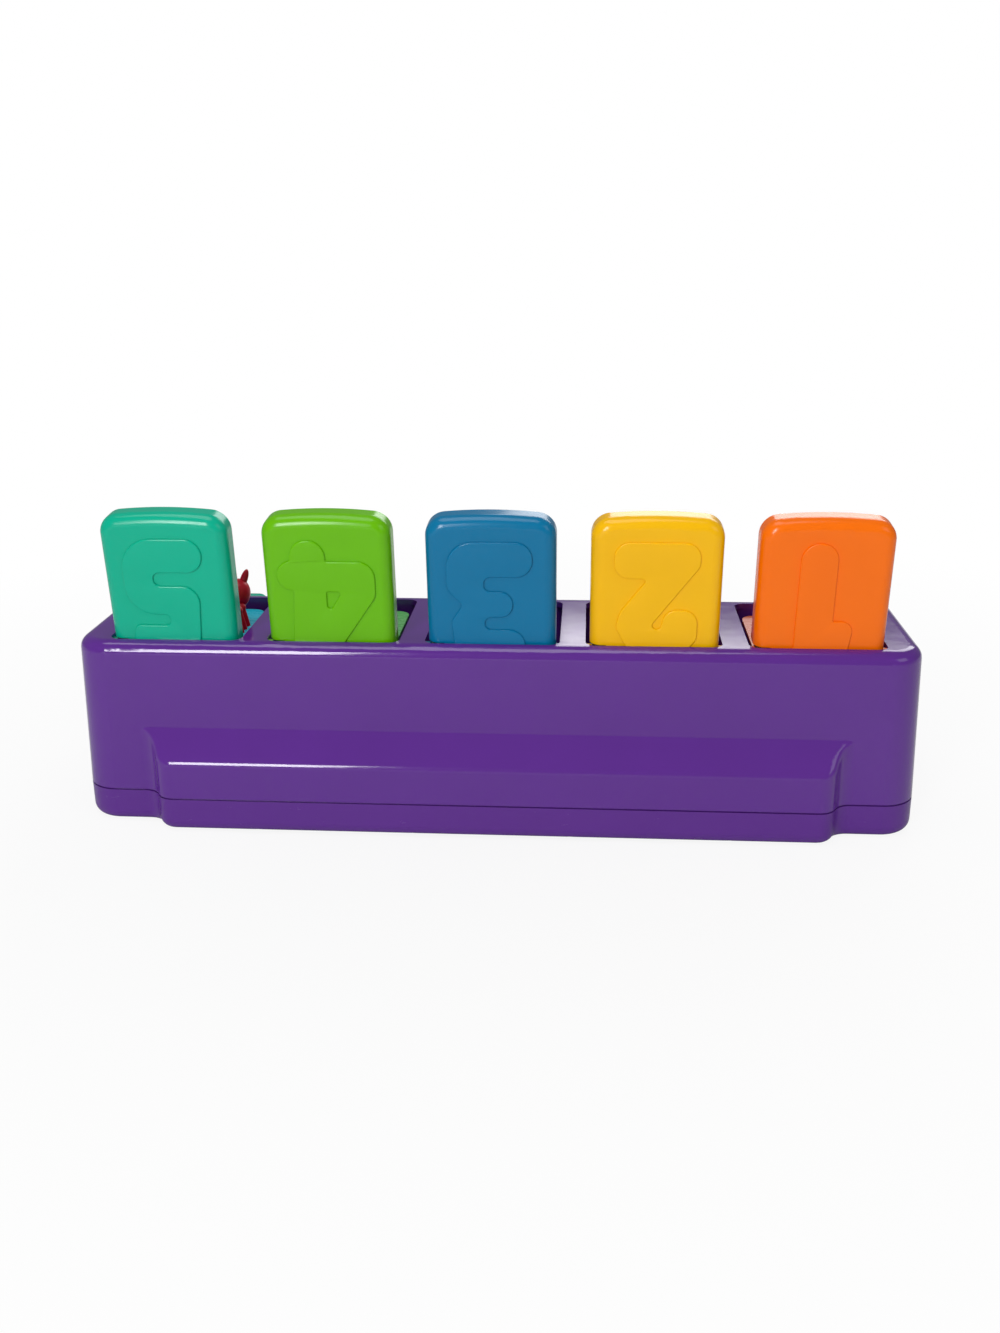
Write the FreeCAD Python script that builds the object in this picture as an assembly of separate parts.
import FreeCAD, Part
import math
import os

from FreeCAD import Placement, Rotation, Vector

# Pop up animal toy, in millimetres.
# +Z is up, the origin is the middle of the resting face, and +Y points to the back,
# where the lids are hinged. Lid 1 is at -X and lid 5 at +X. The lids are drawn open.

os.makedirs("parts", exist_ok=True)

# Outside of the housing
TOP_LENGTH = 340.0
SEAM_LENGTH = 343.8
DECK_HEIGHT = 78.8
SEAM_HEIGHT = 14.4
SEAM_GROOVE = 0.7
BACK_DEPTH = 68.0
FRONT_DEPTH = 77.0
DECK_FRONT = 2.8
PANEL_ANGLE = 36.0
PLAN_CORNER = 14.0
EDGE_ROUND = 5.0
FOOT_ROUND = 4.5
WALL = 2.0
DECK_WALL = 2.5
PANEL_WALL = 2.5
FLOOR_WALL = 2.5
COVER_RIB = 3.0

# Bulge along the foot of the back
BULGE_DEPTH = 8.9
BULGE_FLAT_HALF = 131.0
BULGE_END_HALF = 145.0
BULGE_FACE_TOP = 30.0
BULGE_TOP = 42.5
BULGE_BLEND = 4.0

# Lids
LID_COUNT = 5
LID_PITCH = 64.4
LID_WIDTH = 51.1
LID_THICKNESS = 10.0
LID_VISIBLE = 52.5
LID_ARCH = 1.7
LID_CORNER = 8.0
LID_WALL = 2.0
LID_LEAN = 6.1
LID_SET_IN = 6.0
LID_PROUD = 2.0
HINGE_BELOW_DECK = 2.64
PIN_RADIUS = 1.5
PIN_FIT = 0.08
PIN_REACH = 3.0

# Wells
WELL_WIDTH = 54.2
WELL_FRONT = 0.6
WELL_BACK = 63.0
WELL_CORNER = 4.5
WELL_WALL = 2.0
STOP_WIDTH = 3.0
STOP_OFFSET = 19.0
STOP_GAP = 0.34

# Stage that rides under each lid
STAGE_WIDTH = 48.6
STAGE_TOP = 75.0
STAGE_THICKNESS = 1.6
STAGE_FRONT = 6.0
STAGE_CORNER = 6.0
BACKDROP_THICKNESS = 1.7
BACKDROP_CORNER = 6.0
LEDGE = 1.3
SEAT_FIT = 0.15

# Torsion spring of each lid
SPRING_WIRE = 0.8
LID_COIL_RADIUS = 2.4
LID_COIL_LENGTH = 5.2
LID_LEG = 8.0
SPRING_NOTCH = 6.6
HINGE_BLOCK = 6.5

# Latches under the sloped panel
LATCH_TRAVEL = 2.5
LATCH_WIDTH = 16.0
LATCH_THICKNESS = 2.5
LATCH_DEPTH = 10.5
LATCH_LOW_END = -16.0
LATCH_NOSE_WIDTH = 12.0
LATCH_NOSE_GAP = 0.3
SLIDE_FIT = 0.3
WINDOW_FIT = 0.4
NOSE_ROOT = 4.0
LATCH_BEND = 36.0
GUIDE_LOW = 21.5
GUIDE_LENGTH = 11.5
GUIDE_WALL = 2.0
KEEPER_THICKNESS = 1.8
KEEPER_BOSS = 2.6
LATCH_COIL_RADIUS = 2.6
LATCH_COIL_LENGTH = 13.0

# Controls on the sloped panel
FLANGE_THICKNESS = 1.8
FLANGE_GAP = 0.4
BEZEL_HEIGHT = 1.4
BEZEL_WIDTH = 2.4
CONTROL_FIT = 0.4
OPENING_CORNER = 1.0
BUTTON_RADIUS = 17.0
BUTTON_FLANGE = 2.5
BUTTON_RISE = 9.0
BUTTON_DOME = 1.4
BUTTON_TRAVEL = 5.0
KNOB_TRAVEL = 16.0
KNOB_BASE_LENGTH = 42.0
KNOB_BASE_WIDTH = 17.0
KNOB_NECK = 8.0
DIAL_RADIUS = 16.0
DIAL_HEIGHT = 12.0
DIAL_HUB = 5.0
DIAL_FLUTES = 12
DIAL_SWING = 60.0
CAM_PIN_RADIUS = 2.1
CLIP_GAP = 3.0
ROCKER_LENGTH = 29.0
ROCKER_WIDTH = 23.0
ROCKER_RISE = 5.0
ROCKER_PIVOT = 4.5
LEVER_PIVOT = 5.0
LEVER_HUB = 3.4
LEVER_REACH = 19.0
LEVER_WIDTH = 21.0
FINGER_THICKNESS = 3.5
FINGER_WIDTH = 5.0
CONTROL_PIN = 1.25

# Screws and their posts
POST_RADIUS = 3.5
POST_SINK = 0.5
FRONT_POST_IN = 11.0
END_POST_BACK = 22.0
SCREW_RADIUS = 1.4
SCREW_HEAD = 2.8
SCREW_HEAD_HEIGHT = 1.9
SCREW_BITE = 10.0
SCREW_FIT = 0.05
SCREW_CLEAR = 0.3
SCREW_SINK = 7.0
SMALL_SCREW = 0.9
SMALL_BITE = 6.0
SMALL_SCREW_HEAD = 1.8

# Places that follow from the sizes above
LEAN = math.radians(LID_LEAN)
SLOPE = math.radians(PANEL_ANGLE)
LID_FACE = HINGE_BELOW_DECK + LID_PROUD
HINGE_Z = DECK_HEIGHT - HINGE_BELOW_DECK
HINGE_IN = (LID_FACE + HINGE_BELOW_DECK * math.sin(LEAN)) / math.cos(LEAN)
HINGE_Y = BACK_DEPTH - LID_SET_IN - HINGE_IN
LID_REACH = LID_VISIBLE + HINGE_IN * math.sin(LEAN) + HINGE_BELOW_DECK * math.cos(LEAN)
LID_INNER = LID_FACE - LID_THICKNESS
LID_HALF = LID_WIDTH / 2
WELL_HALF = WELL_WIDTH / 2
WELL_RADIUS = HINGE_Y - WELL_FRONT
LID_CENTRES = [(i - (LID_COUNT - 1) / 2) * LID_PITCH for i in range(LID_COUNT)]
UPPER_BOTTOM = SEAM_HEIGHT + SEAM_GROOVE / 2
COVER_TOP = SEAM_HEIGHT - SEAM_GROOVE / 2
TOE_TOP = DECK_HEIGHT - (FRONT_DEPTH - DECK_FRONT) * math.tan(SLOPE)
PANEL_Y = -(FRONT_DEPTH + DECK_FRONT) / 2
PANEL_Z = (DECK_HEIGHT + TOE_TOP) / 2
LATCH_MID = LATCH_DEPTH + LATCH_THICKNESS / 2
FLANGE_TOP = PANEL_WALL + FLANGE_GAP
FLANGE_BOTTOM = FLANGE_TOP + FLANGE_THICKNESS
ROCKER_SWING = 2 * math.degrees(math.asin(LATCH_TRAVEL / 2 / (LATCH_MID - ROCKER_PIVOT)))
LEVER_SWING = 2 * math.degrees(math.asin(LATCH_TRAVEL / 2 / (LATCH_MID - LEVER_PIVOT)))
DIAL_CRANK = LATCH_TRAVEL / 2 / math.sin(math.radians(DIAL_SWING / 2))
STRIPS = [(a + b) / 2 for a, b in zip(LID_CENTRES, LID_CENTRES[1:])]
BACK_POSTS = [(x, BACK_DEPTH + BULGE_DEPTH - WALL - POST_RADIUS + POST_SINK) for x in STRIPS]
FRONT_POSTS = [(x, FRONT_POST_IN - FRONT_DEPTH) for x in STRIPS]
END_POSTS = [(side * (TOP_LENGTH / 2 - WALL - POST_RADIUS + POST_SINK), END_POST_BACK) for side in (-1, 1)]
POSTS = BACK_POSTS + FRONT_POSTS + END_POSTS
LID_PIN_END = WELL_HALF + WELL_WALL
LATCH_NOSE_LOW = HINGE_Z + LID_INNER + 0.4
LATCH_NOSE_HIGH = LATCH_NOSE_LOW + 3.4
LATCH_HALF = LATCH_WIDTH / 2
KNOB_LATCH_HALF = KNOB_TRAVEL / 2 + CAM_PIN_RADIUS + 3.5


def save(name, shape):
    shape.exportStep(f"parts/{name}.step")
    print(name, len(shape.Solids), "solids", round(shape.Volume / 1000, 2), "cm3", shape.isValid())


def box(x0, x1, y0, y1, z0, z1):
    return Part.makeBox(x1 - x0, y1 - y0, z1 - z0, Vector(x0, y0, z0))


def rod(radius, start, end):
    way = Vector(*end) - Vector(*start)
    return Part.makeCylinder(radius, way.Length, Vector(*start), way)


def prism(points, x0, x1):
    """Solid whose outline lies in the YZ plane, carried along X."""
    wire = Part.makePolygon([Vector(x0, y, z) for y, z in points + points[:1]])
    return Part.Face(wire).extrude(Vector(x1 - x0, 0, 0))


def slab(half_x, half_y, corner, z0, z1, x=0.0, y=0.0):
    """Plate with four rounded corners, centred on x, y."""
    plate = box(x - half_x, x + half_x, y - half_y, y + half_y, z0, z1)
    upright = [e for e in plate.Edges if abs(e.tangentAt(e.FirstParameter).z) > 0.99]
    return plate.makeFillet(corner, upright)


def turned(profile):
    """Solid of revolution about Z from radius, height points; a third value bulges the run to it."""
    edges = []
    for (r0, z0, _), (r1, z1, bow) in zip(profile, profile[1:] + profile[:1]):
        a, b = Vector(r0, 0, z0), Vector(r1, 0, z1)
        if bow:
            side = Vector(0, 1, 0).cross(b - a).normalize()
            edges.append(Part.Arc(a, (a + b) * 0.5 + side * bow, b).toShape())
        else:
            edges.append(Part.makeLine(a, b))
    return Part.Face(Part.Wire(edges)).revolve(Vector(0, 0, 0), Vector(0, 0, 1), 360)


# A lathe-made lump keeps a tiny flat of this radius at each pole.
POLE_FLAT = 0.25


def spheroid(across, along, centre, axis=(0, 0, 1)):
    """Egg or lens shape: half width across the axis and half length along it."""
    if across == along:
        solid = Part.makeSphere(across)
    else:
        long_way, short_way = Vector(0, 0, along), Vector(across, 0, 0)
        tip = math.asin(POLE_FLAT / across)
        first, last = tip, math.pi - tip
        if across > along:
            long_way, short_way = short_way, long_way
            first, last = tip - math.pi / 2, math.pi / 2 - tip
        arc = Part.ArcOfEllipse(Part.Ellipse(long_way, short_way, Vector(0, 0, 0)), first, last).toShape()
        start, end = [vertex.Point for vertex in arc.Vertexes]
        axis_points = [end, Vector(0, 0, end.z), Vector(0, 0, start.z), start]
        half = Part.Wire([arc] + [Part.makeLine(a, b) for a, b in zip(axis_points, axis_points[1:])])
        solid = Part.Face(half).revolve(Vector(0, 0, 0), Vector(0, 0, 1), 360)
    # Each lump's seam is turned to its own side, so that no two seams lie on each other.
    spin = Rotation(Vector(0, 0, 1), 40 + 13 * centre[0] + 7 * centre[2])
    solid.Placement = Placement(Vector(*centre), Rotation(Vector(0, 0, 1), Vector(*axis)).multiply(spin))
    return solid


def fused(pieces):
    return pieces[0].multiFuse(pieces[1:]).removeSplitter()


def sharp_edges_on(shape, origin, normal):
    """Edges that lie in the plane through origin."""
    return [
        e
        for e in shape.Edges
        if all(abs((p - origin).dot(normal)) < 1e-4 for p in e.discretize(5))
    ]


# Places on the sloped panel are given as x, up the slope, and out of the panel.
PANEL = Placement(Vector(0, PANEL_Y, PANEL_Z), Rotation(Vector(1, 0, 0), PANEL_ANGLE))
PANEL_UP = Vector(0, math.cos(SLOPE), math.sin(SLOPE))
PANEL_OUT = Vector(0, -math.sin(SLOPE), math.cos(SLOPE))


def on_panel(shape, x=0.0):
    placed = shape.copy()
    placed.Placement = Placement(Vector(x, 0, 0), Rotation()).multiply(PANEL).multiply(placed.Placement)
    return placed


def panel_coordinates(y, z):
    offset = Vector(0, y - PANEL_Y, z - PANEL_Z)
    return offset.dot(PANEL_UP), offset.dot(PANEL_OUT)


def open_lid(shape, x):
    """Turns a piece drawn on a closed lid, with the hinge at the origin, to the open pose."""
    placed = shape.copy()
    swing = Placement(Vector(x, HINGE_Y, HINGE_Z), Rotation(Vector(1, 0, 0), -90 - LID_LEAN))
    placed.Placement = swing.multiply(placed.Placement)
    return placed


# Housing outline
def plan_wire(half_length, inset, z):
    """Rounded oblong of the housing seen from above, drawn inward by inset."""
    x = half_length - inset
    front, back = inset - FRONT_DEPTH, BACK_DEPTH - inset
    r = PLAN_CORNER - inset
    c = r * (1 - math.sqrt(0.5))
    corners = [(x, back, -1, -1), (x, front, -1, 1), (-x, front, 1, 1), (-x, back, 1, -1)]
    edges, ends = [], []
    for i, (cx, cy, sx, sy) in enumerate(corners):
        side, face = Vector(cx, cy + sy * r, z), Vector(cx + sx * r, cy, z)
        start, stop = (face, side) if i % 2 == 0 else (side, face)
        edges.append(Part.Arc(start, Vector(cx + sx * c, cy + sy * c, z), stop).toShape())
        ends.append((start, stop))
    lines = [Part.makeLine(ends[i][1], ends[(i + 1) % 4][0]) for i in range(4)]
    return Part.Wire([e for pair in zip(edges, lines) for e in pair])


def bulge_block(inset, z0, z1):
    """Back bulge with S-shaped ends, drawn inward by inset, reaching into the main block."""
    run = BULGE_END_HALF - BULGE_FLAT_HALF
    radius = (run**2 + BULGE_DEPTH**2) / (4 * BULGE_DEPTH)
    face_y, wall_y = BACK_DEPTH + BULGE_DEPTH, BACK_DEPTH
    outer = Vector(BULGE_FLAT_HALF, face_y - radius, z0)
    inner = Vector(BULGE_END_HALF, wall_y + radius, z0)
    joining = (inner - outer).normalize()
    meet = outer + joining * (radius - inset)
    half_turn = math.atan2(joining.x, joining.y) / 2
    lean = Vector(math.sin(half_turn), math.cos(half_turn), 0)
    points = [
        Vector(BULGE_FLAT_HALF, face_y - inset, z0),
        outer + lean * (radius - inset),
        meet,
        inner - lean * (radius + inset),
        Vector(BULGE_END_HALF, wall_y - inset, z0),
    ]
    mirrored = [Vector(-p.x, p.y, p.z) for p in points]
    root = wall_y - 3 * WALL
    edges = [
        Part.makeLine(mirrored[0], points[0]),
        Part.Arc(points[0], points[1], points[2]).toShape(),
        Part.Arc(points[2], points[3], points[4]).toShape(),
        Part.makeLine(points[4], Vector(points[4].x, root, z0)),
        Part.makeLine(Vector(points[4].x, root, z0), Vector(-points[4].x, root, z0)),
        Part.makeLine(Vector(-points[4].x, root, z0), mirrored[4]),
        Part.Arc(mirrored[4], mirrored[3], mirrored[2]).toShape(),
        Part.Arc(mirrored[2], mirrored[1], mirrored[0]).toShape(),
    ]
    return Part.Face(Part.Wire(edges)).extrude(Vector(0, 0, z1 - z0))


def bulge_roof(inset):
    """Everything under the sloping top of the bulge."""
    slope = math.atan2(BULGE_TOP - BULGE_FACE_TOP, BULGE_DEPTH)
    drop = inset / math.cos(slope)
    face_y, root = BACK_DEPTH + BULGE_DEPTH, BACK_DEPTH - 4 * WALL
    rise = (BULGE_TOP - BULGE_FACE_TOP) / BULGE_DEPTH
    outline = [
        (root, 0.0),
        (face_y + 1.0, 0.0),
        (face_y + 1.0, BULGE_FACE_TOP - rise - drop),
        (root, BULGE_FACE_TOP + (face_y - root) * rise - drop),
    ]
    return prism(outline, -BULGE_END_HALF - 1, BULGE_END_HALF + 1)


def panel_y(z, depth):
    """Y of the plane that lies depth below the sloped panel, at height z."""
    return -DECK_FRONT - (DECK_HEIGHT - z) / math.tan(SLOPE) + depth / math.sin(SLOPE)


def main_block(inset, deck_depth, panel_depth, z_low):
    """Body of the housing without the bulge, drawn inward by the wall given for each face."""
    z_top = DECK_HEIGHT - deck_depth
    taper = (SEAM_LENGTH - TOP_LENGTH) / 2 / (DECK_HEIGHT - SEAM_HEIGHT)
    low_half = SEAM_LENGTH / 2 + taper * (SEAM_HEIGHT - z_low)
    top_half = TOP_LENGTH / 2 + taper * (DECK_HEIGHT - z_top)
    block = Part.makeLoft([plan_wire(low_half, inset, z_low), plan_wire(top_half, inset, z_top)], True, True)
    low, high = z_low - 1, z_top + 1
    outline = [
        (BACK_DEPTH + 1, low),
        (BACK_DEPTH + 1, high),
        (panel_y(high, panel_depth), high),
        (panel_y(low, panel_depth), low),
    ]
    half = SEAM_LENGTH / 2 + 1
    return block.common(prism(outline, -half, half))


def housing_outside():
    block = main_block(0.0, 0.0, 0.0, UPPER_BOTTOM)
    deck = sharp_edges_on(block, Vector(0, 0, DECK_HEIGHT), Vector(0, 0, 1))
    slope = sharp_edges_on(block, Vector(0, PANEL_Y, PANEL_Z), PANEL_OUT)
    picked = []
    for edge in deck + slope:
        if not any(edge.isSame(other) for other in picked):
            picked.append(edge)
    block = block.makeFillet(EDGE_ROUND, picked)
    bulge = bulge_block(0.0, UPPER_BOTTOM, BULGE_TOP + 8).common(bulge_roof(0.0))
    crest = [e for e in bulge.Edges if abs(e.CenterOfMass.z - BULGE_FACE_TOP) < 0.5 and e.Length > 100]
    bulge = bulge.makeFillet(BULGE_BLEND, crest)
    return block.fuse(bulge).removeSplitter()


def housing_inside():
    block = main_block(WALL, DECK_WALL, PANEL_WALL, UPPER_BOTTOM - 1)
    bulge = bulge_block(WALL, UPPER_BOTTOM - 1, BULGE_TOP + 8).common(bulge_roof(WALL))
    return block.fuse(bulge)


def well_sector(radius, half, back, top, x):
    """Quarter round trough about the hinge line, as wide as twice half."""
    front = Vector(x - half, HINGE_Y - radius, HINGE_Z)
    low = Vector(x - half, HINGE_Y, HINGE_Z - radius)
    turn = radius * math.sqrt(0.5)
    middle = Vector(x - half, HINGE_Y - turn, HINGE_Z - turn)
    corners = [low, Vector(low.x, back, low.z), Vector(low.x, back, top), Vector(low.x, front.y, top), front]
    edges = [Part.makeLine(a, b) for a, b in zip(corners, corners[1:])]
    edges.append(Part.Arc(front, middle, low).toShape())
    return Part.Face(Part.Wire(edges)).extrude(Vector(2 * half, 0, 0))


def well_mouth(x):
    half_y = (WELL_BACK - WELL_FRONT) / 2
    middle = (WELL_BACK + WELL_FRONT) / 2
    low = DECK_HEIGHT - DECK_WALL - 0.5
    return slab(WELL_HALF, half_y, WELL_CORNER, low, DECK_HEIGHT + 1, x, middle)


def lid_face_y(z):
    """Y of the open lid's outer face at height z."""
    return BACK_DEPTH - LID_SET_IN + (z - DECK_HEIGHT) * math.tan(LEAN)


def stop_pads(x):
    """Two pads on the back edge of a well, which the open lid rests against."""
    low, high = DECK_HEIGHT - DECK_WALL, DECK_HEIGHT - 0.6
    face = lid_face_y((low + high) / 2) + STOP_GAP
    pads = []
    for side in (-1, 1):
        centre = x + side * STOP_OFFSET
        pads.append(box(centre - STOP_WIDTH / 2, centre + STOP_WIDTH / 2, face, WELL_BACK + 1, low, high))
    return pads


def latch_window(x):
    """Hole in the front of a well for the latch's nose, over its whole travel."""
    half = LATCH_NOSE_WIDTH / 2 + SLIDE_FIT
    drop = LATCH_TRAVEL * math.sin(SLOPE)
    low, high = LATCH_NOSE_LOW - drop - NOSE_ROOT, LATCH_NOSE_HIGH + WINDOW_FIT
    return box(x - half, x + half, WELL_FRONT - WELL_WALL - 3.0, WELL_FRONT + 1.0, low, high)


KEEPER_TOP = -(LATCH_DEPTH + LATCH_THICKNESS + SLIDE_FIT)
GUIDE_INNER = LATCH_WIDTH / 2 + SLIDE_FIT
GUIDE_OUTER = GUIDE_INNER + GUIDE_WALL
GUIDE_HIGH = GUIDE_LOW + GUIDE_LENGTH
GUIDE_MIDDLE = (GUIDE_LOW + GUIDE_HIGH) / 2
KEEPER_SCREWS = [side * (GUIDE_OUTER + KEEPER_BOSS - 0.4) for side in (-1, 1)]


def guide():
    """Rails, cross ribs and screw bosses under the panel, which the latch slides between."""
    pieces = [
        box(-GUIDE_OUTER, -GUIDE_INNER, GUIDE_LOW, GUIDE_HIGH, KEEPER_TOP, -1.0),
        box(GUIDE_INNER, GUIDE_OUTER, GUIDE_LOW, GUIDE_HIGH, KEEPER_TOP, -1.0),
    ]
    for start in (GUIDE_LOW, GUIDE_HIGH - GUIDE_WALL):
        rib_foot = SLIDE_FIT - LATCH_DEPTH
        pieces.append(box(-GUIDE_OUTER, GUIDE_OUTER, start, start + GUIDE_WALL, rib_foot, -1.0))
    for x in KEEPER_SCREWS:
        pieces.append(rod(KEEPER_BOSS, (x, GUIDE_MIDDLE, KEEPER_TOP), (x, GUIDE_MIDDLE, -1.0)))
    return pieces


SPRING_SEAT = LATCH_LOW_END - LATCH_COIL_LENGTH - 0.4


def spring_seat():
    """Rib under the panel that the latch spring pushes against."""
    low = -(LATCH_MID + LATCH_COIL_RADIUS + 1.0)
    return box(-5.0, 5.0, SPRING_SEAT - 2.0, SPRING_SEAT, low, -1.0)


def frame(half_x, half_y, corner):
    """Raised rim round an opening in the panel."""
    outer = slab(half_x + BEZEL_WIDTH, half_y + BEZEL_WIDTH, corner + BEZEL_WIDTH, -1.0, BEZEL_HEIGHT)
    top = [e for e in outer.Edges if abs(e.CenterOfMass.z - BEZEL_HEIGHT) < 1e-6]
    return outer.makeFillet(BEZEL_HEIGHT * 0.6, top)


def collar(radius):
    outer = Part.makeCylinder(radius + BEZEL_WIDTH, BEZEL_HEIGHT + 1.0, Vector(0, 0, -1.0))
    top = [e for e in outer.Edges if abs(e.CenterOfMass.z - BEZEL_HEIGHT) < 1e-6]
    return outer.makeFillet(BEZEL_HEIGHT * 0.6, top)


def pivot_ears(depth, inner, half_t):
    """Two ears under the panel that hold a control's pivot pin."""
    ears = []
    for side in (-1, 1):
        x0, x1 = sorted((side * inner, side * (inner + 2.2)))
        ears.append(box(x0, x1, -half_t, half_t, -(depth + CONTROL_PIN + 1.6), -1.0))
    return ears


ROCKER_EAR = ROCKER_WIDTH / 2 + 1.0
LEVER_ARM_HALF = 4.0
LEVER_EAR = LEVER_ARM_HALF + 0.6
ROCKER_OPENING = (ROCKER_WIDTH / 2 + CONTROL_FIT, ROCKER_LENGTH / 2 + 1.9)
LEVER_OPENING = (LEVER_ARM_HALF + CONTROL_FIT, 4.4)
KNOB_OPENING = (KNOB_TRAVEL / 2 + KNOB_NECK / 2 + CONTROL_FIT, KNOB_NECK / 2 + CONTROL_FIT)
TRACK_OPENING = (KNOB_BASE_LENGTH / 2 + KNOB_TRAVEL / 2 + CONTROL_FIT, KNOB_BASE_WIDTH / 2 + CONTROL_FIT)


def panel_hangers():
    """Guides, spring seats and pivot ears that hang under the panel."""
    pieces = []
    for x in LID_CENTRES:
        hung = guide() + [spring_seat()]
        pieces += [on_panel(piece, x) for piece in hung]
    pieces += [on_panel(e, LID_CENTRES[3]) for e in pivot_ears(ROCKER_PIVOT, ROCKER_EAR, 4.0)]
    pieces += [on_panel(e, LID_CENTRES[4]) for e in pivot_ears(LEVER_PIVOT, LEVER_EAR, 4.0)]
    return pieces


def panel_rims():
    """Raised rim round each control."""
    rims = [
        collar(BUTTON_RADIUS + CONTROL_FIT),
        frame(*TRACK_OPENING, 4.0),
        collar(DIAL_RADIUS + CONTROL_FIT),
        frame(*ROCKER_OPENING, OPENING_CORNER),
        frame(*LEVER_OPENING, OPENING_CORNER),
    ]
    return [on_panel(rim, x) for rim, x in zip(rims, LID_CENTRES)]


def panel_cuts():
    """Openings in the panel and holes in what hangs under it."""
    deep, high = -(PANEL_WALL + 1.0), BEZEL_HEIGHT + 1.0
    button = Part.makeCylinder(BUTTON_RADIUS + CONTROL_FIT, high - deep, Vector(0, 0, deep))
    track = slab(*TRACK_OPENING, 4.0, 0.0, high)
    slot = slab(*KNOB_OPENING, OPENING_CORNER, deep, high)
    seat = Part.makeCylinder(DIAL_RADIUS + CONTROL_FIT, high, Vector(0, 0, 0.0))
    hub = Part.makeCylinder(DIAL_HUB + 0.1, high - deep, Vector(0, 0, deep))
    rocker = slab(*ROCKER_OPENING, OPENING_CORNER, deep, high)
    lever = slab(*LEVER_OPENING, OPENING_CORNER, deep, high)
    cuts = [on_panel(c, LID_CENTRES[i]) for i, c in ((0, button), (1, track), (1, slot), (2, hub), (2, seat))]
    cuts += [on_panel(rocker, LID_CENTRES[3]), on_panel(lever, LID_CENTRES[4])]
    for depth, half, x in ((ROCKER_PIVOT, ROCKER_EAR, LID_CENTRES[3]), (LEVER_PIVOT, LEVER_EAR, LID_CENTRES[4])):
        reach = half + 4.0
        cuts.append(on_panel(rod(CONTROL_PIN + SCREW_FIT, (-reach, 0, -depth), (reach, 0, -depth)), x))
    for x in LID_CENTRES:
        for side in KEEPER_SCREWS:
            low, high = (side, GUIDE_MIDDLE, KEEPER_TOP - 1), (side, GUIDE_MIDDLE, KEEPER_TOP + SMALL_BITE + 0.5)
            cuts.append(on_panel(rod(SMALL_SCREW + SCREW_FIT, low, high), x))
    return cuts


def upper_housing():
    outside = housing_outside()
    inside = housing_inside()
    shell = outside.cut(inside)
    troughs, hollows = [], []
    deck_under = DECK_HEIGHT - DECK_WALL
    for x in LID_CENTRES:
        troughs.append(well_sector(WELL_RADIUS + WELL_WALL, WELL_HALF + WELL_WALL, BACK_DEPTH, deck_under + 0.5, x))
        hollows.append(well_sector(WELL_RADIUS, WELL_HALF, BACK_DEPTH - WALL, deck_under, x))
        hollows.append(well_mouth(x))
    posts = [rod(POST_RADIUS, (x, y, UPPER_BOTTOM), (x, y, DECK_HEIGHT)) for x, y in POSTS]
    trimmed = [piece.common(outside) for piece in troughs + posts]
    body = shell.multiFuse(trimmed + panel_hangers() + panel_rims())
    body = body.cut(Part.makeCompound(hollows))
    body = body.fuse(Part.makeCompound([p for x in LID_CENTRES for p in stop_pads(x)]))
    cuts = panel_cuts()
    for x in LID_CENTRES:
        reach = WELL_HALF + WELL_WALL + 0.6
        cuts.append(rod(PIN_RADIUS + PIN_FIT, (x - reach, HINGE_Y, HINGE_Z), (x + reach, HINGE_Y, HINGE_Z)))
        cuts.append(latch_window(x))
    cuts += [rod(SCREW_RADIUS + SCREW_FIT, (x, y, 0), (x, y, UPPER_BOTTOM + SCREW_BITE + 1)) for x, y in POSTS]
    return body.cut(Part.makeCompound(cuts)).removeSplitter()


def bottom_cover():
    """Tray that closes the housing from below, with a raised ring that seats in the seam."""
    outside = Part.Face(plan_wire(SEAM_LENGTH / 2, 0.0, 0.0)).extrude(Vector(0, 0, COVER_TOP))
    outside = outside.fuse(bulge_block(0.0, 0.0, COVER_TOP)).removeSplitter()
    foot = sharp_edges_on(outside, Vector(0, 0, 0), Vector(0, 0, 1))
    outside = outside.makeFillet(FOOT_ROUND, foot)
    ring_inset = WALL / 2
    high = UPPER_BOTTOM
    ring = Part.Face(plan_wire(SEAM_LENGTH / 2, ring_inset, FLOOR_WALL)).extrude(Vector(0, 0, high - FLOOR_WALL))
    ring = ring.fuse(bulge_block(ring_inset, FLOOR_WALL, high))
    hollow = Part.Face(plan_wire(SEAM_LENGTH / 2, WALL, FLOOR_WALL)).extrude(Vector(0, 0, high))
    hollow = hollow.fuse(bulge_block(WALL, FLOOR_WALL, high + 1)).removeSplitter()
    tray = outside.fuse(ring).cut(hollow)
    bosses = [rod(POST_RADIUS + 0.5, (x, y, FLOOR_WALL - 0.5), (x, y, UPPER_BOTTOM)) for x, y in POSTS]
    front, back = WALL - FRONT_DEPTH, BACK_DEPTH - WALL
    low, high = FLOOR_WALL - 0.5, FLOOR_WALL + COVER_RIB
    ribs = [box(x - WALL / 2, x + WALL / 2, front, back, low, high) for x in STRIPS]
    tray = tray.multiFuse(bosses + ribs)
    cuts = []
    for x, y in POSTS:
        cuts.append(rod(SCREW_RADIUS + SCREW_CLEAR, (x, y, -1), (x, y, UPPER_BOTTOM + 1)))
        cuts.append(rod(SCREW_HEAD + SCREW_CLEAR, (x, y, -1), (x, y, SCREW_SINK)))
    return tray.cut(Part.makeCompound(cuts)).removeSplitter()


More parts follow.
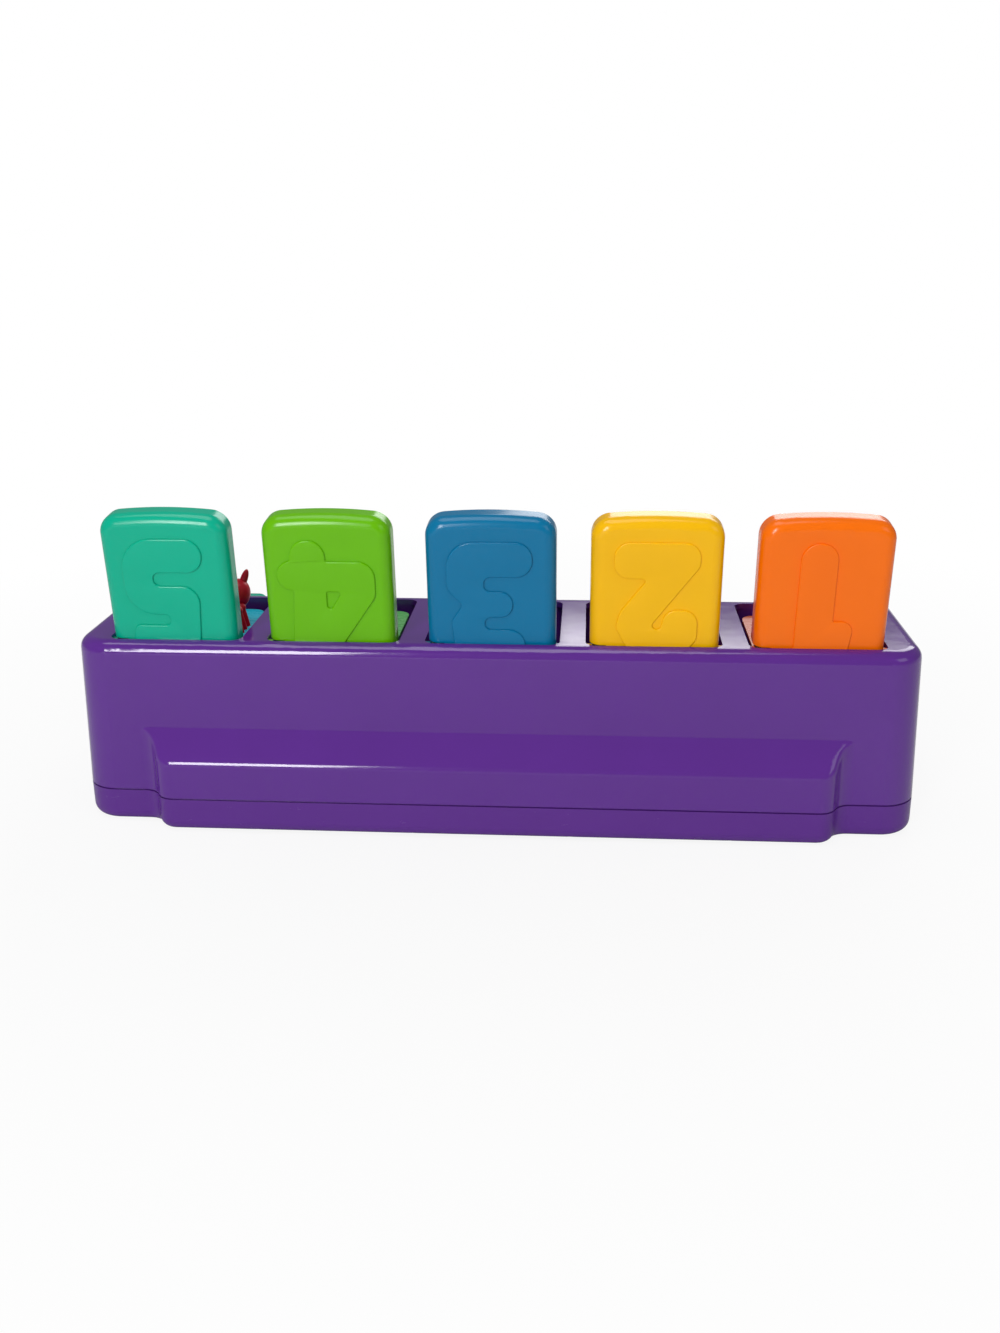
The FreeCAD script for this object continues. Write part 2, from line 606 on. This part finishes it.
def housing_screws():
    screws = []
    for x, y in POSTS:
        head = rod(SCREW_HEAD, (x, y, SCREW_SINK - SCREW_HEAD_HEIGHT), (x, y, SCREW_SINK))
        slot = box(x - 0.4, x + 0.4, y - 1.8, y + 1.8, 0, SCREW_SINK - SCREW_HEAD_HEIGHT + 0.8)
        cross = box(x - 1.8, x + 1.8, y - 0.4, y + 0.4, 0, SCREW_SINK - SCREW_HEAD_HEIGHT + 0.8)
        shank = rod(SCREW_RADIUS, (x, y, SCREW_SINK - 0.5), (x, y, UPPER_BOTTOM + SCREW_BITE))
        screws.append(head.fuse(shank).cut(slot.fuse(cross)))
    return Part.makeCompound(screws)


def lid_barrel():
    """Hinge barrel with round ends, flush with the lid's outer face."""
    half = LID_HALF - LID_FACE
    pieces = [rod(LID_FACE, (-half, 0, 0), (half, 0, 0))]
    pieces += [Part.makeSphere(LID_FACE, Vector(side * half, 0, 0)) for side in (-1, 1)]
    return fused(pieces)


def lid():
    """Pillow shaped cap drawn closed about the hinge: free edge toward -Y, outer face up."""
    short = LID_REACH - LID_ARCH
    corners = [Vector(LID_HALF, 0, LID_INNER), Vector(LID_HALF, -short, LID_INNER)]
    corners += [Vector(-LID_HALF, -short, LID_INNER), Vector(-LID_HALF, 0, LID_INNER)]
    edges = [
        Part.makeLine(corners[0], corners[1]),
        Part.Arc(corners[1], Vector(0, -LID_REACH, LID_INNER), corners[2]).toShape(),
        Part.makeLine(corners[2], corners[3]),
        Part.makeLine(corners[3], corners[0]),
    ]
    cap = Part.Face(Part.Wire(edges)).extrude(Vector(0, 0, LID_THICKNESS))
    upright = [e for e in cap.Edges if e.Length < LID_THICKNESS + 0.1 and e.CenterOfMass.y < -short + 0.1]
    cap = cap.makeFillet(LID_CORNER, upright)
    rim = [
        e
        for e in sharp_edges_on(cap, Vector(0, 0, LID_FACE), Vector(0, 0, 1))
        if e.CenterOfMass.y < -0.1
    ]
    cap = cap.makeFillet(LID_FACE - 0.01, rim)
    cap = cap.fuse(lid_barrel())
    wall_x, far = LID_HALF - LID_WALL, LID_REACH - LID_ARCH - LID_WALL
    inner_corner = LID_CORNER - LID_WALL
    cavity_half, cavity_mid = (far - LEDGE - HINGE_BLOCK) / 2, -(far - LEDGE + HINGE_BLOCK) / 2
    roof, floor = LID_FACE - LID_WALL, LID_INNER + BACKDROP_THICKNESS
    cavity = slab(wall_x - LEDGE, cavity_half, inner_corner - LEDGE, LID_INNER - 1, roof, 0, cavity_mid)
    recess_half, recess_mid = (far + 2 * LID_FACE) / 2, -(far - 2 * LID_FACE) / 2
    recess = slab(wall_x, recess_half, inner_corner, LID_INNER - 1, floor, 0, recess_mid)
    notch_x, groove_top = LID_HALF - SPRING_NOTCH, floor + SPRING_WIRE + 0.4
    coil_room = LID_COIL_RADIUS + SPRING_WIRE / 2 + 0.3
    notch = box(notch_x, LID_HALF + 1, -coil_room, LID_FACE + 1, LID_INNER - 1, LID_FACE + 1)
    groove = box(notch_x - 1.4, notch_x + 0.1, -LID_LEG - 1.0, LID_FACE + 1, LID_INNER - 1, groove_top)
    cap = cap.cut(Part.makeCompound([cavity, recess, notch, groove]))
    pins = [
        rod(PIN_RADIUS, (-LID_PIN_END, 0, 0), (LID_FACE - LID_HALF, 0, 0)),
        rod(PIN_RADIUS, (notch_x - 1.0, 0, 0), (LID_PIN_END, 0, 0)),
    ]
    return fused([cap] + pins)


def stage(x):
    """L shaped tray: a backdrop inside the lid and the platform that the animal stands on."""
    wall_x, far = LID_HALF - LID_WALL - SEAT_FIT, LID_REACH - LID_ARCH - LID_WALL - SEAT_FIT
    foot = HINGE_Z - STAGE_TOP + STAGE_THICKNESS
    half_y, middle = (far + foot) / 2, (foot - far) / 2
    top = LID_INNER + BACKDROP_THICKNESS
    backdrop = slab(wall_x, half_y, BACKDROP_CORNER - SEAT_FIT, LID_INNER, top, 0, middle)
    backdrop = open_lid(backdrop.fuse(box(-wall_x, wall_x, foot - 8, foot, LID_INNER, top)), x)
    root = HINGE_Y + LID_INNER / math.cos(LEAN)
    half_x = STAGE_WIDTH / 2
    platform = slab(half_x, (root - STAGE_FRONT) / 2 + STAGE_CORNER, STAGE_CORNER,
                    STAGE_TOP - STAGE_THICKNESS, STAGE_TOP, x, (root + STAGE_FRONT) / 2 + STAGE_CORNER)
    behind = box(x - half_x - 1, x + half_x + 1, root, BACK_DEPTH, STAGE_TOP - 10, STAGE_TOP + 10)
    tread = fused([backdrop, platform.cut(behind)])
    gussets = []
    for side in (-1, 1):
        gx = x + side * (wall_x - 1.2)
        shape = prism([(root - 9.0, STAGE_TOP - 0.2), (root + 0.8, STAGE_TOP - 0.2), (root + 1.6, STAGE_TOP + 9.0)],
                      gx - 0.7, gx + 0.7)
        gussets.append(shape)
    return fused([tread] + gussets)


def lid_spring(x):
    """Torsion spring round the lid's hinge pin, drawn as the outer form of its coil and two legs."""
    start = LID_HALF - SPRING_NOTCH + 0.3
    outer, inner = LID_COIL_RADIUS + SPRING_WIRE / 2, LID_COIL_RADIUS - SPRING_WIRE / 2
    coil = rod(outer, (start, 0, 0), (start + LID_COIL_LENGTH, 0, 0))
    coil = coil.cut(rod(inner, (start - 1, 0, 0), (start + LID_COIL_LENGTH + 1, 0, 0)))
    end = start + LID_COIL_LENGTH
    coil.translate(Vector(x, HINGE_Y, HINGE_Z))
    middle = x + end - SPRING_WIRE / 2
    reach = BACK_DEPTH - WALL - 1.0
    height = HINGE_Z - SPRING_WIRE / 2
    hook = rod(SPRING_WIRE / 2, (middle, HINGE_Y + LID_COIL_RADIUS, height), (middle, reach, height))
    return coil.fuse(hook).removeSplitter()


def latch_profile():
    """Side outline of a latch in panel coordinates: flat slide with a nose that rises to the lid."""
    tip_y = HINGE_Y - math.hypot(LID_REACH, LID_INNER) - LATCH_NOSE_GAP + 0.1
    low_tip, high_tip = panel_coordinates(tip_y, LATCH_NOSE_LOW), panel_coordinates(tip_y, LATCH_NOSE_HIGH)
    top, bottom = -LATCH_DEPTH, -(LATCH_DEPTH + LATCH_THICKNESS)
    return [(LATCH_LOW_END, bottom), (LATCH_BEND, bottom), low_tip, high_tip, (high_tip[0] - 4.5, high_tip[1]),
            (LATCH_BEND - 0.4, top), (LATCH_LOW_END, top)]


def finger_window(pivot, swing):
    """Reach, along the slope, of the latch window that a swinging finger works in."""
    half, turn = FINGER_THICKNESS / 2, math.radians(swing / 2)
    rise, thick = math.tan(turn), half / math.cos(turn)
    low = (LATCH_DEPTH - pivot) * rise - thick - WINDOW_FIT
    high = LATCH_TRAVEL + thick - (LATCH_DEPTH - pivot) * rise + WINDOW_FIT
    deep = (LATCH_DEPTH + LATCH_THICKNESS - pivot) * rise + thick + WINDOW_FIT
    return low, max(high, deep)


WEDGE_EDGE = -2.5
WEDGE_BACK = 2.6


def latch_window_cut(number):
    """The window of each latch, shaped for the control that drives it."""
    low, high = -(LATCH_DEPTH + LATCH_THICKNESS + 1), 1 - LATCH_DEPTH
    half = FINGER_WIDTH / 2 + WINDOW_FIT
    if number == 0:
        return box(-half, half, WEDGE_EDGE, WEDGE_BACK + LATCH_TRAVEL + WINDOW_FIT, low, high)
    if number == 1:
        radius = CAM_PIN_RADIUS + 0.15
        start, stop = Vector(-KNOB_TRAVEL / 2, 0, 0), Vector(KNOB_TRAVEL / 2, LATCH_TRAVEL, 0)
        across = (stop - start).cross(Vector(0, 0, 1)).normalize() * radius
        corners = [start + across, stop + across, stop - across, start - across, start + across]
        middle = Part.Face(Part.makePolygon(corners)).extrude(Vector(0, 0, high - low))
        middle.translate(Vector(0, 0, low))
        ends = [rod(radius, (p.x, p.y, low), (p.x, p.y, high)) for p in (start, stop)]
        return fused([middle] + ends)
    if number == 2:
        across = DIAL_CRANK * math.cos(math.radians(DIAL_SWING / 2))
        reach = CAM_PIN_RADIUS + WINDOW_FIT
        rise = LATCH_TRAVEL / 2
        return box(across - reach, DIAL_CRANK + reach, rise - reach + 0.15, rise + reach - 0.15, low, high)
    pivot, swing = ((ROCKER_PIVOT, ROCKER_SWING), (LEVER_PIVOT, LEVER_SWING))[number - 3]
    t0, t1 = finger_window(pivot, swing)
    return box(-half, half, t0, t1, low, high)


def latch(number):
    outline = latch_profile()
    wire = Part.makePolygon([Vector(0, t, n) for t, n in outline + outline[:1]])
    full = Part.Face(wire).extrude(Vector(LATCH_WIDTH, 0, 0))
    full.translate(Vector(-LATCH_HALF, 0, 0))
    trim = LATCH_HALF - LATCH_NOSE_WIDTH / 2
    for side in (-1, 1):
        x0, x1 = sorted((side * LATCH_HALF * 1.1, side * (LATCH_HALF - trim)))
        full = full.cut(box(x0, x1, GUIDE_HIGH + LATCH_TRAVEL + 0.5, 60, -30, 10))
    if number == 1:
        flare = slab(KNOB_LATCH_HALF, 8.0, 2.0, -(LATCH_DEPTH + LATCH_THICKNESS), -LATCH_DEPTH, 0, 1.0)
        full = full.fuse(flare)
    full = full.cut(latch_window_cut(number))
    return on_panel(full.removeSplitter(), LID_CENTRES[number])


def latch_spring(x):
    """Compression spring below a latch, drawn as the outer form of its coil."""
    outer, inner = LATCH_COIL_RADIUS, LATCH_COIL_RADIUS - SPRING_WIRE
    low, high = LATCH_LOW_END - LATCH_COIL_LENGTH - 0.2, LATCH_LOW_END - 0.2
    coil = rod(outer, (0, low, -LATCH_MID), (0, high, -LATCH_MID))
    return on_panel(coil.cut(rod(inner, (0, low - 1, -LATCH_MID), (0, high + 1, -LATCH_MID))), x)


def latch_keepers():
    keepers = []
    for x in LID_CENTRES:
        half = KEEPER_SCREWS[1] + KEEPER_BOSS
        plate = slab(half, GUIDE_LENGTH / 2, KEEPER_BOSS, KEEPER_TOP - KEEPER_THICKNESS, KEEPER_TOP, 0, GUIDE_MIDDLE)
        for side in KEEPER_SCREWS:
            hole = rod(SMALL_SCREW + SCREW_CLEAR, (side, GUIDE_MIDDLE, KEEPER_TOP - 5), (side, GUIDE_MIDDLE, KEEPER_TOP + 1))
            plate = plate.cut(hole)
        keepers.append(on_panel(plate, x))
    return Part.makeCompound(keepers)


def keeper_screws():
    screws = []
    under = KEEPER_TOP - KEEPER_THICKNESS
    for x in LID_CENTRES:
        for side in KEEPER_SCREWS:
            head = rod(SMALL_SCREW_HEAD, (side, GUIDE_MIDDLE, under - 1.2), (side, GUIDE_MIDDLE, under))
            shank = rod(SMALL_SCREW, (side, GUIDE_MIDDLE, under - 0.5), (side, GUIDE_MIDDLE, KEEPER_TOP + SMALL_BITE))
            screws.append(on_panel(head.fuse(shank).removeSplitter(), x))
    return Part.makeCompound(screws)


def push_button():
    """Domed button with a retaining flange and a wedge that drives its latch down the slope."""
    r, flange = BUTTON_RADIUS, BUTTON_RADIUS + BUTTON_FLANGE
    round_off = 3.0
    crown = r - round_off
    crown_radius = (crown**2 + BUTTON_DOME**2) / (2 * BUTTON_DOME)
    crown_bow = crown_radius - math.sqrt(crown_radius**2 - (crown**2 + BUTTON_DOME**2) / 4)
    profile = [
        (0.0, -FLANGE_BOTTOM, 0),
        (flange, -FLANGE_BOTTOM, 0),
        (flange, -FLANGE_TOP, 0),
        (r, -FLANGE_TOP, 0),
        (r, BUTTON_RISE - round_off, 0),
        (crown, BUTTON_RISE, round_off * (1 - math.sqrt(0.5))),
        (0.0, BUTTON_RISE + BUTTON_DOME, crown_bow),
    ]
    cap = turned(profile)
    slant = LATCH_TRAVEL / BUTTON_TRAVEL
    face = WEDGE_EDGE + 0.25
    tip = -(LATCH_DEPTH + 1.5)
    root = 0.5 - FLANGE_BOTTOM
    outline = [
        (WEDGE_BACK, root),
        (WEDGE_BACK, tip),
        (face + slant * 1.5, tip),
        (face - slant * (LATCH_DEPTH + root), root),
    ]
    return on_panel(cap.fuse(prism(outline, -FINGER_WIDTH / 2, FINGER_WIDTH / 2)).removeSplitter(), LID_CENTRES[0])


def knob_start(shape):
    return on_panel(shape, LID_CENTRES[1] - KNOB_TRAVEL / 2)


def slide_knob():
    base = slab(KNOB_BASE_LENGTH / 2, KNOB_BASE_WIDTH / 2, 4.0, CONTROL_FIT / 2, CONTROL_FIT / 2 + 2.0)
    grip = slab(7.0, KNOB_BASE_WIDTH / 2 - 0.8, 3.0, 1.0, 11.0)
    rim = [e for e in grip.Edges if abs(e.CenterOfMass.z - 11.0) < 1e-6]
    grip = grip.makeFillet(1.8, rim)
    for offset in (-3.6, 0.0, 3.6):
        grip = grip.cut(rod(0.9, (offset, -20, 11.2), (offset, 20, 11.2)))
    neck = box(-KNOB_NECK / 2, KNOB_NECK / 2, -KNOB_NECK / 2, KNOB_NECK / 2, -FLANGE_TOP, 1.0)
    return knob_start(fused([base, grip, neck]))


def slide_carrier():
    """Plate under the panel that holds the knob down and carries the pin of its cam."""
    plate = slab(KNOB_NECK / 2 + 5.0, KNOB_NECK / 2 + 4.0, 2.0, -FLANGE_BOTTOM, -FLANGE_TOP)
    pin = rod(CAM_PIN_RADIUS, (0, 0, -(LATCH_DEPTH + LATCH_THICKNESS + 0.6)), (0, 0, -FLANGE_BOTTOM + 0.5))
    return knob_start(plate.fuse(pin).removeSplitter())


def dial_knob():
    low = CONTROL_FIT / 2
    profile = [
        (0.0, low, 0),
        (DIAL_RADIUS, low, 0),
        (DIAL_RADIUS, 3.0, 0),
        (DIAL_RADIUS - 2.0, 4.5, 0),
        (DIAL_RADIUS - 3.0, DIAL_HEIGHT - 1.5, 0),
        (DIAL_RADIUS - 4.5, DIAL_HEIGHT, 0.4),
        (0.0, DIAL_HEIGHT + 0.8, 0.2),
    ]
    knob = turned(profile)
    flutes = []
    for i in range(DIAL_FLUTES):
        turn = 2 * math.pi * i / DIAL_FLUTES
        fx, fy = (DIAL_RADIUS - 1.6) * math.cos(turn), (DIAL_RADIUS - 1.6) * math.sin(turn)
        flutes.append(rod(1.9, (fx, fy, 5.0), (fx, fy, DIAL_HEIGHT + 3)))
    pointer = slab(1.6, 5.0, 1.5, DIAL_HEIGHT - 1.0, DIAL_HEIGHT + 1.8, 0, 6.5)
    hub = rod(DIAL_HUB, (0, 0, -FLANGE_BOTTOM - 1.2), (0, 0, low + 0.5))
    half = math.radians(DIAL_SWING / 2)
    cx, cy = DIAL_CRANK * math.cos(half), DIAL_CRANK * math.sin(half)
    pin = rod(CAM_PIN_RADIUS, (cx, cy, -(LATCH_DEPTH + LATCH_THICKNESS + 0.6)), (cx, cy, -FLANGE_BOTTOM))
    return on_panel(fused([knob.cut(Part.makeCompound(flutes)), pointer, hub, pin]), LID_CENTRES[2])


def dial_clip():
    """Split ring that holds the dial's hub under the panel."""
    ring = rod(DIAL_HUB + 4.0, (0, 0, -FLANGE_BOTTOM), (0, 0, -FLANGE_TOP))
    ring = ring.cut(rod(DIAL_HUB, (0, 0, -FLANGE_BOTTOM - 1), (0, 0, 0)))
    gap = box(-CLIP_GAP / 2, CLIP_GAP / 2, 0, DIAL_HUB + 6, -FLANGE_BOTTOM - 1, 0)
    return on_panel(ring.cut(gap), LID_CENTRES[2])


def tilted(shape, pivot, swing):
    """Turns a control, drawn upright, to the rest end of its swing."""
    placed = shape.copy()
    to_pivot = Placement(Vector(0, 0, -pivot), Rotation(Vector(1, 0, 0), swing / 2))
    placed.Placement = to_pivot.multiply(Placement(Vector(0, 0, pivot), Rotation())).multiply(placed.Placement)
    return placed


def finger(pivot):
    half = FINGER_THICKNESS / 2
    tip = -(LATCH_DEPTH + LATCH_THICKNESS + 0.5)
    return box(-FINGER_WIDTH / 2, FINGER_WIDTH / 2, -half, half, tip, -pivot)


def rocker():
    half_t, high = ROCKER_LENGTH / 2, ROCKER_RISE
    outline = [(-half_t, -3.4), (half_t, -3.4), (half_t, high), (0.0, high - 1.8), (-half_t, high)]
    cap = prism(outline, -ROCKER_WIDTH / 2, ROCKER_WIDTH / 2)
    rim = [e for e in cap.Edges if e.CenterOfMass.z > 3.0 and (e.Length > 20 or abs(e.CenterOfMass.x) > 1)]
    cap = cap.makeFillet(1.5, [e for e in rim if abs(e.CenterOfMass.y) > 1 and e.Length > 5])
    hub = rod(3.0, (-ROCKER_WIDTH / 2, 0, -ROCKER_PIVOT), (ROCKER_WIDTH / 2, 0, -ROCKER_PIVOT))
    body = fused([cap, hub, finger(ROCKER_PIVOT)])
    body = body.cut(rod(CONTROL_PIN + PIN_FIT, (-20, 0, -ROCKER_PIVOT), (20, 0, -ROCKER_PIVOT)))
    return on_panel(tilted(body, ROCKER_PIVOT, ROCKER_SWING), LID_CENTRES[3])


def flip_lever():
    hub = rod(LEVER_HUB, (-LEVER_ARM_HALF, 0, -LEVER_PIVOT), (LEVER_ARM_HALF, 0, -LEVER_PIVOT))
    arm = box(-LEVER_ARM_HALF, LEVER_ARM_HALF, -2.2, 2.2, -LEVER_PIVOT, 6.0)
    paddle = box(-LEVER_WIDTH / 2, LEVER_WIDTH / 2, -2.6, 2.6, 4.5, LEVER_REACH)
    broad = [e for e in paddle.Edges if abs(e.tangentAt(e.FirstParameter).y) > 0.99]
    paddle = paddle.makeFillet(5.0, [e for e in broad if e.CenterOfMass.z > 10])
    rim = [e for e in paddle.Edges if abs(abs(e.CenterOfMass.y) - 2.6) < 1e-6]
    paddle = paddle.makeFillet(1.6, rim)
    body = fused([hub, arm, paddle, finger(LEVER_PIVOT)])
    body = body.cut(rod(CONTROL_PIN + PIN_FIT, (-20, 0, -LEVER_PIVOT), (20, 0, -LEVER_PIVOT)))
    return on_panel(tilted(body, LEVER_PIVOT, LEVER_SWING), LID_CENTRES[4])


def control_pin(ear, pivot, x):
    reach = ear + 2.2
    return on_panel(rod(CONTROL_PIN, (-reach, 0, -pivot), (reach, 0, -pivot)), x)


# Animals, drawn standing on the origin and facing -Y, then set on their stages
ANIMAL_BACK = 36.0


def on_stage(pieces, x):
    figure = pieces[0]
    for piece in pieces[1:]:
        figure = figure.fuse(piece)
    figure = figure.common(box(-40, 40, -40, 40, 0, 60))
    figure.translate(Vector(x, ANIMAL_BACK, STAGE_TOP))
    return figure


def pair(across, along, centre, axis=(0, 0, 1)):
    """The same lump on the left and on the right."""
    x, y, z = centre
    return [spheroid(across, along, (side * x, y, z), (side * axis[0], axis[1], axis[2])) for side in (-1, 1)]


def lion(x):
    mane_radius, mane_height, locks = 12.5, 27.0, 10
    pieces = [spheroid(10.5, 15.0, (0, 1, 12)), spheroid(mane_radius, 5.5, (0, -3, mane_height), (0, 1, 0))]
    for i in range(locks):
        turn = 2 * math.pi * (i + 0.5) / locks
        centre = mane_radius * math.cos(turn), -3, mane_height + mane_radius * math.sin(turn)
        pieces.append(spheroid(4.6, 4.6, centre))
    pieces += [spheroid(10.5, 10.5, (0, -6, mane_height)), spheroid(5.2, 4.2, (0, -15, mane_height - 3), (0, 1, 0))]
    pieces += pair(3.4, 3.4, (9.0, -4, mane_height + 10))
    pieces += pair(3.4, 8.0, (5.2, -8, 6)) + pair(3.9, 3.9, (5.6, -11, 2)) + pair(6.0, 6.0, (9.5, 0, 5))
    return on_stage(pieces, x)


def elephant(x):
    pieces = [spheroid(12.0, 13.0, (0, 1, 12)), spheroid(11.0, 11.0, (0, -6, 27))]
    pieces += pair(8.2, 2.4, (12.4, -3, 28), (0.25, 1, 0))
    pieces += [rod(4.0, (s * 6.5, -7, 0), (s * 6.5, -7, 10)) for s in (-1, 1)]
    top, bend, tip = Vector(0, -15, 25), Vector(0, -20, 15), Vector(0, -22.5, 7)
    path = Part.Wire([Part.Arc(top, Vector(0, -19.2, 20.4), bend).toShape(), Part.Arc(bend, Vector(0, -20.3, 10.5), tip).toShape()])
    ring = Part.Wire([Part.makeCircle(2.9, top, path.Edges[0].tangentAt(path.Edges[0].FirstParameter))])
    pieces += [path.makePipeShell([ring], True, False), Part.makeSphere(3.3, tip), Part.makeSphere(3.3, bend)]
    pieces += pair(1.4, 4.0, (4.2, -15.0, 19.5), (0.2, -0.6, -1))
    return on_stage(pieces, x)


def monkey(x):
    pieces = [spheroid(9.5, 13.0, (0, 1, 12)), spheroid(11.5, 11.5, (0, -4, 28))]
    pieces += [spheroid(8.6, 3.6, (0, -12.6, 29), (0, 1, 0)), spheroid(6.6, 4.6, (0, -14, 24.5), (0, 1, 0))]
    pieces += pair(5.4, 2.3, (14.0, -3, 28), (0, 1, 0))
    pieces += pair(3.2, 9.0, (9.5, -3, 13), (0.35, -0.35, -1)) + pair(4.0, 4.0, (6.0, -7.5, 2.5))
    return on_stage(pieces, x)


def frog(x):
    pieces = [spheroid(14.5, 11.0, (0, 2, 10)), spheroid(13.5, 9.0, (0, -6, 20))]
    pieces += pair(5.0, 5.0, (7.6, -7, 28)) + pair(6.6, 9.0, (13.2, 2, 7), (0, 1, 0.3))
    pieces += pair(3.0, 7.5, (7.5, -10, 6), (0.3, -0.2, -1)) + pair(4.2, 2.0, (8.0, -14.5, 1.2))
    return on_stage(pieces, x)


def crab(x):
    pieces = [spheroid(16.0, 9.5, (0, 0, 13))]
    for side in (-1, 1):
        pieces.append(rod(1.6, (side * 5.5, -6, 15), (side * 5.5, -8, 27)))
        pieces.append(spheroid(3.6, 3.6, (side * 5.5, -8, 28)))
        pieces.append(rod(2.4, (side * 11, -3, 10), (side * 17.5, -9, 12)))
        pieces.append(spheroid(5.4, 6.6, (side * 17.5, -9, 13), (side * 0.2, -0.3, 1)))
        pieces.append(spheroid(1.9, 5.6, (side * 15.4, -10.5, 20), (side * -0.1, -0.2, 1)))
        pieces.append(spheroid(1.6, 4.6, (side * 20.2, -10.5, 19), (side * 0.35, -0.2, 1)))
        for i in range(3):
            knee = (side * 19.5, 4.5 - 5 * i, 8.0)
            pieces += [rod(1.7, (side * 11, 5 - 4 * i, 9), knee), Part.makeSphere(2.1, Vector(*knee))]
            pieces.append(rod(1.7, knee, (side * 21.5, 4.5 - 5 * i, -1)))
    return on_stage(pieces, x)


ANIMALS = {"lion": lion, "elephant": elephant, "monkey": monkey, "frog": frog, "crab": crab}

save("upper_housing", upper_housing())
save("bottom_cover", bottom_cover())
save("housing_screws", housing_screws())
closed_lid = lid()
for i, x in enumerate(LID_CENTRES):
    number = i + 1
    save(f"lid_{number}", open_lid(closed_lid, x))
    save(f"stage_{number}", stage(x))
    save(f"lid_spring_{number}", lid_spring(x))
    save(f"latch_{number}", latch(i))
    save(f"latch_spring_{number}", latch_spring(x))
for (name, model), x in zip(ANIMALS.items(), LID_CENTRES):
    save(name, model(x))
save("latch_keepers", latch_keepers())
save("keeper_screws", keeper_screws())
save("push_button", push_button())
save("slide_knob", slide_knob())
save("slide_carrier", slide_carrier())
save("dial_knob", dial_knob())
save("dial_clip", dial_clip())
save("rocker", rocker())
save("rocker_pin", control_pin(ROCKER_EAR, ROCKER_PIVOT, LID_CENTRES[3]))
save("flip_lever", flip_lever())
save("lever_pin", control_pin(LEVER_EAR, LEVER_PIVOT, LID_CENTRES[4]))
print("hinge y, z", round(HINGE_Y, 3), round(HINGE_Z, 3), "swings", ROCKER_SWING, LEVER_SWING)
print("panel", PANEL_Y, round(PANEL_Z, 3))
